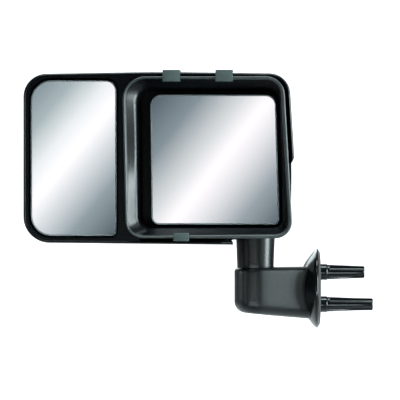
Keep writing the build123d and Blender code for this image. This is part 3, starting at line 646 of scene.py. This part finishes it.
def arm_underside(x):
    """Height of the arm's underside, which falls towards the door."""
    tip, tip_height, fall = -107.0, -28.5, 0.0965
    return tip_height - (x - tip) * fall


ARM_DISCS = [(*NECK, 26.0), (-12.0, -15.0, 12.0), (-12.0, 15.0, 12.0)]


def base_arm():
    """Moulded arm, rounded along its top and bottom edges."""
    top_round, low_round = 5.5, 13.0
    steps = 8
    rings = []
    for step in range(steps + 1):
        angle = math.pi / 2 * step / steps
        inset = low_round * (1 - math.sin(angle))
        rings.append([(x, y, arm_underside(x) + low_round * (1 - math.cos(angle)))
                      for x, y in hull_of_discs(ARM_DISCS, -inset)])
    for step in range(1, steps + 1):
        share = step / (steps + 1)
        rings.append([(x, y, (arm_underside(x) + low_round) * (1 - share) + (ARM_TOP - top_round) * share)
                      for x, y in hull_of_discs(ARM_DISCS, 0.0)])
    for step in range(steps + 1):
        angle = math.pi / 2 * step / steps
        inset = top_round * (1 - math.cos(angle))
        rings.append([(x, y, ARM_TOP - top_round * (1 - math.sin(angle)))
                      for x, y in hull_of_discs(ARM_DISCS, -inset)])
    arm = skin("base_arm_skin", rings)
    seat_radius, cavity_radius, bore_radius = 23.3, 16.0, 18.6
    seat = lathe("seat", [(seat_radius, ARM_TOP - 3.2), (seat_radius, ARM_TOP + 3.0)], (*NECK, 0.0), "Z")
    cavity = lathe("cavity", [(cavity_radius, -60.0), (cavity_radius, -2.0)], (*NECK, 0.0), "Z")
    bore = lathe("bore", [(bore_radius, ARM_TOP - 5.0), (bore_radius, 40.0)], (*NECK, 0.0), "Z")
    carve(arm, seat, cavity, bore)
    soften(arm, 0.5, 2, 40.0)
    finish(arm, "base", BASE_PLASTIC, "base_plastic", "base_arm")


def door_flange():
    """Round flange that flares from the arm to a rounded rim at the gasket."""
    profile = [(26.0, -22.6), (29.0, -22.0), (33.0, -19.6), (38.0, -16.0), (42.0, -12.9), (44.6, -10.7), (46.5, -9.1),
               (47.8, -7.8), (48.7, -6.6), (49.15, -5.6), (49.2, -4.8), (48.9, -4.0), (48.3, -3.4), (47.4, -3.0),
               (10.0, -3.0)]
    flange = lathe("door_flange", profile, (0.0, 0.0, 0.0), "X", 128)
    finish(flange, "base", POST_PLASTIC, "base_plastic")


def door_gasket():
    """Seal whose door face is slightly domed, with a shallow groove near its edge."""
    profile = [(20.0, -2.95), (46.4, -2.95), (46.2, -2.4), (45.4, -1.9), (43.6, -1.5), (41.0, -1.15), (40.2, -1.6),
               (39.4, -1.0), (35.0, -0.65), (28.0, -0.25), (20.0, -0.03), (8.0, 0.0)]
    seal = lathe("door_gasket_skin", profile, (0.0, 0.0, 0.0), "X", 128)
    finish(seal, "base", SEAL_RUBBER, "rubber", "door_gasket")


def neck_cover():
    """Hollow tapered neck; its foot stands in the arm's seat and its inner ledge is bored for the spindle."""
    profile = [(17.5, NECK_TOP - 0.05), (23.6, NECK_TOP - 0.05), (23.95, NECK_TOP - 0.5), (23.98, 63.0), (23.6, 54.0),
               (23.2, 44.0), (22.85, 34.0), (22.7, 30.5), (22.6, 25.2), (22.3, 24.4), (21.6, 24.0), (18.7, 24.0),
               (18.7, 31.7), (6.4, 31.7), (6.4, 36.0), (17.5, 36.0)]
    neck = lathe("neck_skin", profile + profile[:1], (*NECK, 0.0), "Z", 96, cap=False)
    bm = bmesh.new()
    bm.from_mesh(neck.data)
    bmesh.ops.remove_doubles(bm, verts=bm.verts, dist=1e-6)
    bmesh.ops.recalc_face_normals(bm, faces=bm.faces)
    bm.to_mesh(neck.data)
    bm.free()
    neck.data.set_sharp_from_angle(angle=math.radians(40))
    finish(neck, "head", HOUSING_PLASTIC, "base_plastic", "neck_cover")


def mount_post(name, reach, height):
    """Fluted post: four ribs with rounded grooves between them, and a round collar at its root."""
    groove, core = 4.2, 5.4
    far = core + groove
    steps = 96
    stations = [(10.0, 9.2), (10.6, 9.1), (12.0, 9.05), (20.0, 8.7), (30.0, 8.3), (40.0, 7.9), (reach - 2.0, 7.5),
                (reach - 0.8, 7.2), (reach - 0.05, 6.6)]
    rings = []
    for along, radius in stations:
        ring = []
        for k in range(steps):
            angle = math.tau * k / steps
            lean = abs((angle - math.pi / 4) % (math.pi / 2))
            lean = min(lean, math.pi / 2 - lean)
            room = groove ** 2 - (far * math.sin(lean)) ** 2
            here = radius
            if room > 0 and along > 10.2:
                here = min(radius, far * math.cos(lean) - math.sqrt(room))
            ring.append((along, here * math.cos(angle), height + here * math.sin(angle)))
        rings.append(ring)
    post = skin(name + "_skin", rings)
    bore = 4.05
    socket = lathe("socket", [(bore, reach - 12.0), (bore, reach + 2.0)], (0.0, 0.0, height), "X", 40)
    carve(post, socket)
    soften(post, 0.25, 2, 35.0)
    finish(post, "base", POST_PLASTIC, "post_plastic", name)
    collar_profile = [(9.0, -8.0), (9.95, -7.9), (9.98, 6.6), (9.7, 7.5), (9.0, 8.0), (9.2, 8.1), (9.2, 10.2)]
    collar = lathe(name + "_collar", collar_profile, (0.0, 0.0, height), "X", 64)
    collar.data.set_sharp_from_angle(angle=math.radians(40))
    finish(collar, "base", POST_PLASTIC, "post_plastic")


# --- Clips -----------------------------------------------------------------------------------------


def clip(name, heights, inward, width, centre_x, body):
    """Rubber strap that hooks over the housing rim; inward is 1 when the hook reaches up and -1 when down."""
    hook, tail_near, tail_far = heights
    lip = hook - inward * 1.8
    front, front_inside, hook_end, tail_end = -89.0, -86.4, -80.0, -58.0
    profile = [(front, hook), (hook_end, hook), (hook_end, lip), (front_inside, lip), (front_inside, tail_near),
               (tail_end, tail_near), (tail_end, tail_far), (front, tail_far)]
    bm = bmesh.new()
    near, far = ([bm.verts.new(Vector((x, y, z)) * MM) for y, z in profile]
                 for x in (centre_x - width / 2, centre_x + width / 2))
    count = len(profile)
    for i in range(count):
        j = (i + 1) % count
        bm.faces.new((near[i], near[j], far[j], far[i]))
    bm.faces.new(near)
    bm.faces.new(far[::-1])
    bmesh.ops.recalc_face_normals(bm, faces=bm.faces)
    mesh = bpy.data.meshes.new(name + "_skin")
    bm.to_mesh(mesh)
    bm.free()
    strap = link(name + "_skin", mesh)
    soften(strap, 0.6, 3, 30.0)
    finish(strap, body, CLIP_RUBBER, "clip_rubber", name)


# Heights of the hook's end, of the inner and of the outer face of the strap.
TOP_CLIP = (254.2, 266.75, 268.4)
BOTTOM_CLIP = (69.4, 62.2, 59.4)
TOP_CLIP_WIDTH, BOTTOM_CLIP_WIDTH = 21.2, 18.8


# --- The object ------------------------------------------------------------------------------------

tow_shell()
shell_tail()
housing_shell()
housing_bezel()
mirror_plate("main_glass", MAIN_GLASS, -59.5, "main_glass_unit", MAIN_PAINTED_REFLECTION, 0.56, "main_mirror_glass")
mirror_plate("tow_glass", TOW_GLASS, -75.0, "tow_glass_unit", TOW_PAINTED_REFLECTION, 0.40, "tow_mirror_glass")
base_arm()
door_flange()
door_gasket()
neck_cover()
mount_post("upper_mount_post", 54.0, POST_HEIGHT)
mount_post("lower_mount_post", 64.4, -POST_HEIGHT)
clip("outboard_top_clip", TOP_CLIP, -1, TOP_CLIP_WIDTH, -182.7, "outboard_top_clip_body")
clip("inboard_top_clip", TOP_CLIP, -1, TOP_CLIP_WIDTH, -118.2, "inboard_top_clip_body")
clip("bottom_clip", BOTTOM_CLIP, 1, BOTTOM_CLIP_WIDTH, -170.8, "bottom_clip_body")


# --- Studio ----------------------------------------------------------------------------------------

low, high = cad_box
centre = (Vector(low) + Vector(high)) / 2


def studio_floor():
    """Floor that curves up into a backdrop behind the object; pale behind, with painted shade darkening its front and
    a painted glow on the backdrop behind the object.
    """
    depth_front, depth_back, bend, top = 6.0, 5.4, 1.6, 4.5
    half = 7.0
    bend_steps = 12
    floor_z = low[2] - 0.35
    path = [(-depth_front, floor_z), (0.0, floor_z), (depth_back - bend, floor_z)]
    for k in range(1, bend_steps + 1):
        angle = math.pi / 2 * k / bend_steps
        path.append((depth_back - bend + bend * math.sin(angle), floor_z + bend * (1 - math.cos(angle))))
    path.append((depth_back, top))
    mesh = bpy.data.meshes.new("studio_sweep")
    points = [(side, y, z) for y, z in path for side in (-half, half)]
    faces = [(2 * i, 2 * i + 1, 2 * i + 3, 2 * i + 2) for i in range(len(path) - 1)]
    mesh.from_pydata(points, [], faces)
    sweep = link("studio_sweep", mesh)
    made = Nodes("studio_paper_painted_light")
    split = made.add("ShaderNodeSeparateXYZ")
    made.join(made.place, split.inputs["Vector"])
    # Painted shade: the paper's colour falls to dark grey towards the front.
    painted_front_shade = made.add("ShaderNodeMapRange", interpolation_type="SMOOTHSTEP")
    painted_front_shade.inputs["From Min"].default_value = -0.5
    painted_front_shade.inputs["From Max"].default_value = 0.25
    made.join(split.outputs["Y"], painted_front_shade.inputs["Value"])
    made.join(made.ramp(painted_front_shade.outputs["Result"], (0.0, (0.09, 0.09, 0.09)), (1.0, (0.74, 0.75, 0.75))),
              made.shader.inputs["Base Color"])
    # Painted light: the paper glows, fully right behind the object and fading with distance from there.
    painted_glow = made.add("ShaderNodeVectorMath", operation="DISTANCE")
    painted_glow.inputs[1].default_value = (centre.x, depth_back, centre.z)
    made.join(made.place, painted_glow.inputs[0])
    fade = made.add("ShaderNodeMapRange", interpolation_type="SMOOTHSTEP")
    fade.inputs["From Min"].default_value = 1.1
    fade.inputs["From Max"].default_value = 2.4
    fade.inputs["To Min"].default_value = 1.0
    fade.inputs["To Max"].default_value = 0.1
    made.join(painted_glow.outputs["Value"], fade.inputs["Value"])
    made.shader.inputs["Emission Color"].default_value = (1.0, 1.0, 1.0, 1.0)
    made.join(fade.outputs["Result"], made.shader.inputs["Emission Strength"])
    made.shader.inputs["Roughness"].default_value = 0.9
    mesh.materials.append(made.material)


def softbox(name, place, target, width, height, power, colour=(1.0, 1.0, 1.0)):
    light = bpy.data.lights.new(name, "AREA")
    light.shape = "RECTANGLE"
    light.size, light.size_y = width, height
    light.energy = power
    light.color = colour
    lamp = bpy.data.objects.new(name, light)
    lamp.location = place
    lamp.rotation_euler = (Vector(target) - Vector(place)).to_track_quat("-Z", "Y").to_euler()
    bpy.context.scene.collection.objects.link(lamp)


def world():
    """Studio surroundings: dim behind the camera, bright overhead and behind the object."""
    studio = bpy.data.worlds.new("studio")
    studio.use_nodes = True
    tree = studio.node_tree
    direction = tree.nodes.new("ShaderNodeTexCoord")
    split = tree.nodes.new("ShaderNodeSeparateXYZ")
    tree.links.new(direction.outputs["Generated"], split.inputs["Vector"])
    raised = tree.nodes.new("ShaderNodeMath")
    raised.operation = "MULTIPLY_ADD"
    raised.inputs[1].default_value = 0.5
    tree.links.new(split.outputs["Z"], raised.inputs[0])
    tree.links.new(split.outputs["Y"], raised.inputs[2])
    ramp = tree.nodes.new("ShaderNodeMapRange")
    ramp.inputs["From Min"].default_value = -0.7
    ramp.inputs["From Max"].default_value = 0.9
    ramp.inputs["To Min"].default_value = 0.025
    ramp.inputs["To Max"].default_value = 0.4
    tree.links.new(raised.outputs["Value"], ramp.inputs["Value"])
    background = tree.nodes["Background"]
    background.inputs["Color"].default_value = (0.93, 0.97, 0.97, 1.0)
    tree.links.new(ramp.outputs["Result"], background.inputs["Strength"])
    bpy.context.scene.world = studio


def camera(azimuth, elevation, distance, lens, aim):
    data = bpy.data.cameras.new("view")
    data.lens = lens
    data.sensor_width = 36.0
    data.clip_start, data.clip_end = 0.05, 50.0
    a, e = math.radians(azimuth), math.radians(elevation)
    back = Vector((math.sin(a) * math.cos(e), -math.cos(a) * math.cos(e), math.sin(e)))
    eye = bpy.data.objects.new("view", data)
    eye.location = Vector(aim) + back * distance
    eye.rotation_euler = (-back).to_track_quat("-Z", "Y").to_euler()
    bpy.context.scene.collection.objects.link(eye)
    bpy.context.scene.camera = eye


studio_floor()
world()
COOL = (0.84, 0.98, 1.0)
softbox("right", (2.08, -0.52, 0.26), centre, 0.9, 1.4, 142.0, COOL)
softbox("right_front", (1.6, -1.75, 0.35), centre, 0.7, 1.2, 9.0, COOL)
softbox("left", (-2.2, -0.15, 0.32), centre, 0.5, 0.3, 7.0, COOL)
softbox("left_front", (-2.0, -1.3, 0.0), centre, 0.3, 0.4, 2.0, COOL)
softbox("high_front", (-0.62, -1.3, 1.9), centre, 0.7, 0.5, 9.0, COOL)
softbox("top", (-0.15, -0.35, 1.9), centre, 1.6, 0.5, 42.0, COOL)
softbox("rear", (-0.8, 1.7, 1.2), centre, 1.4, 1.2, 25.0, COOL)
softbox("low", (-0.28, -1.3, -0.36), centre, 1.2, 0.25, 12.0, COOL)
softbox("card", (-0.43, -4.8, 0.16), centre, 0.86, 0.6, 1.7)
camera(2.0, 0.0, 4.2, 305.0, centre)

bpy.context.scene.view_settings.view_transform = "Standard"
